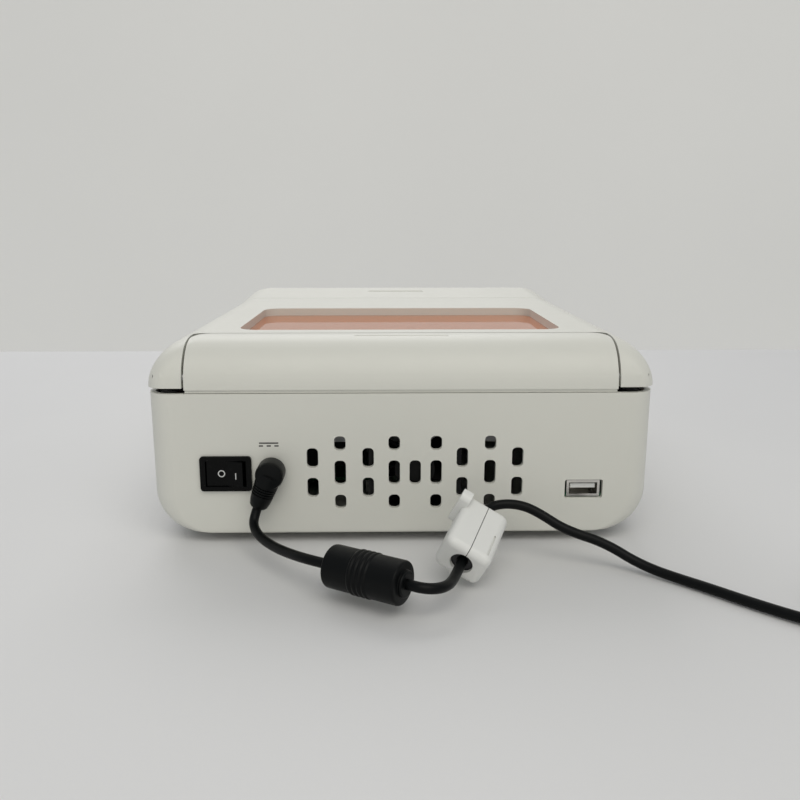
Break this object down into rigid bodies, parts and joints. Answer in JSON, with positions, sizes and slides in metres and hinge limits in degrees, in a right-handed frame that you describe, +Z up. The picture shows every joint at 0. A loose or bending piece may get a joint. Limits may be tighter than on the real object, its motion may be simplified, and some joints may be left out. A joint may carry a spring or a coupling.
{
  "type": "gel electrophoresis system",
  "caption": "Benchtop gel electrophoresis system: hinged lid with amber window over a gel deck, sloped display console and rear power lead.",
  "frame": {"origin": "on the bench under the middle of the case, at the bottom of the rubber feet", "axes": "+X to the right of someone at the front console, +Y towards the rear panel, +Z up"},
  "size_m": [0.3139, 0.3908, 0.0916],
  "materials": {
    "case_white": "satin moulded",
    "black_plastic": "matt moulded",
    "switch_black": "semi-gloss",
    "black_rubber": "matt",
    "steel": "plated",
    "plated_contact": "nickel plated",
    "bare_aluminium": "mill finish",
    "circuit_board": "solder mask",
    "blue_glass": "polished filter glass",
    "dark_glass": "polished",
    "amber_acrylic": "polished translucent",
    "opal_plastic": "opal",
    "lead_black": "satin",
    "clip_white": "moulded",
    "ferrite": "fired ferrite"
  },
  "bodies": {
    "case": {"base_shell": "case_white", "console_shell": "case_white", "hinge_cover": "case_white", "rubber_feet": "black_rubber", "lid_bumpers": "black_rubber", "case_screws": "steel", "tray_screws": "steel", "board_screws": "steel", "hinge_pin_left": "steel", "hinge_pin_right": "steel", "clip_hinge_pin": "steel", "gel_deck": "black_plastic", "filter_frame": "black_plastic", "display_carrier": "black_plastic", "fan_frame": "black_plastic", "switch_body": "switch_black", "dc_jack": "black_plastic", "blue_filter_glass": "blue_glass", "diffuser_sheet": "opal_plastic", "led_tray": "bare_aluminium", "led_board": "circuit_board", "main_board": "circuit_board", "power_board": "circuit_board", "usb_board": "circuit_board", "contact_strip_left": "plated_contact", "contact_strip_right": "plated_contact", "catch_magnets": "plated_contact", "usb_port_shell": "plated_contact", "dc_plug_barrel": "plated_contact", "usb_port_tongue": "clip_white", "touch_glass": "dark_glass", "lcd_panel": "dark_glass", "dc_plug": "lead_black", "moulded_ferrite": "lead_black", "lead_plug_to_core": "lead_black", "lead_core_to_clip": "lead_black", "lead_in_clip": "lead_black", "lead_clip_to_coil": "lead_black", "lead_coil": "lead_black", "lead_coil_to_connector": "lead_black", "inline_connector": "lead_black", "coil_tie": "lead_black", "clip_base": "clip_white", "clip_core_base": "ferrite"},
    "lid": {"lid_frame": "case_white", "amber_window": "amber_acrylic", "lid_liner": "black_plastic", "lid_screws": "steel", "lid_magnets": "plated_contact"},
    "rocker": {"rocker_paddle": "switch_black"},
    "fan": {"fan_rotor": "black_plastic"},
    "clip_lid": {"clip_cover": "clip_white", "clip_core_cover": "ferrite"}
  },
  "joints": [
    {"name": "lid_hinge", "type": "hinge", "parent": "case", "child": "lid", "pos_m": [0, 0.1385, 0.073], "axis": [-1, 0, 0], "range_deg": [0, 95]},
    {"name": "rocker_tilt", "type": "hinge", "parent": "case", "child": "rocker", "pos_m": [0.0753, 0.142, 0.032], "axis": [0, 0, 1], "range_deg": [0, 16]},
    {"name": "fan_spin", "type": "hinge", "parent": "case", "child": "fan", "pos_m": [-0.0057, 0.133, 0.032], "axis": [0, 1, 0], "continuous": true},
    {"name": "clip_hinge", "type": "hinge", "parent": "case", "child": "clip_lid", "pos_m": [-0.0181, 0.18792, 0.00409], "axis": [-0.3695, -0.8805, 0.297], "range_deg": [0, 100]}
  ]
}
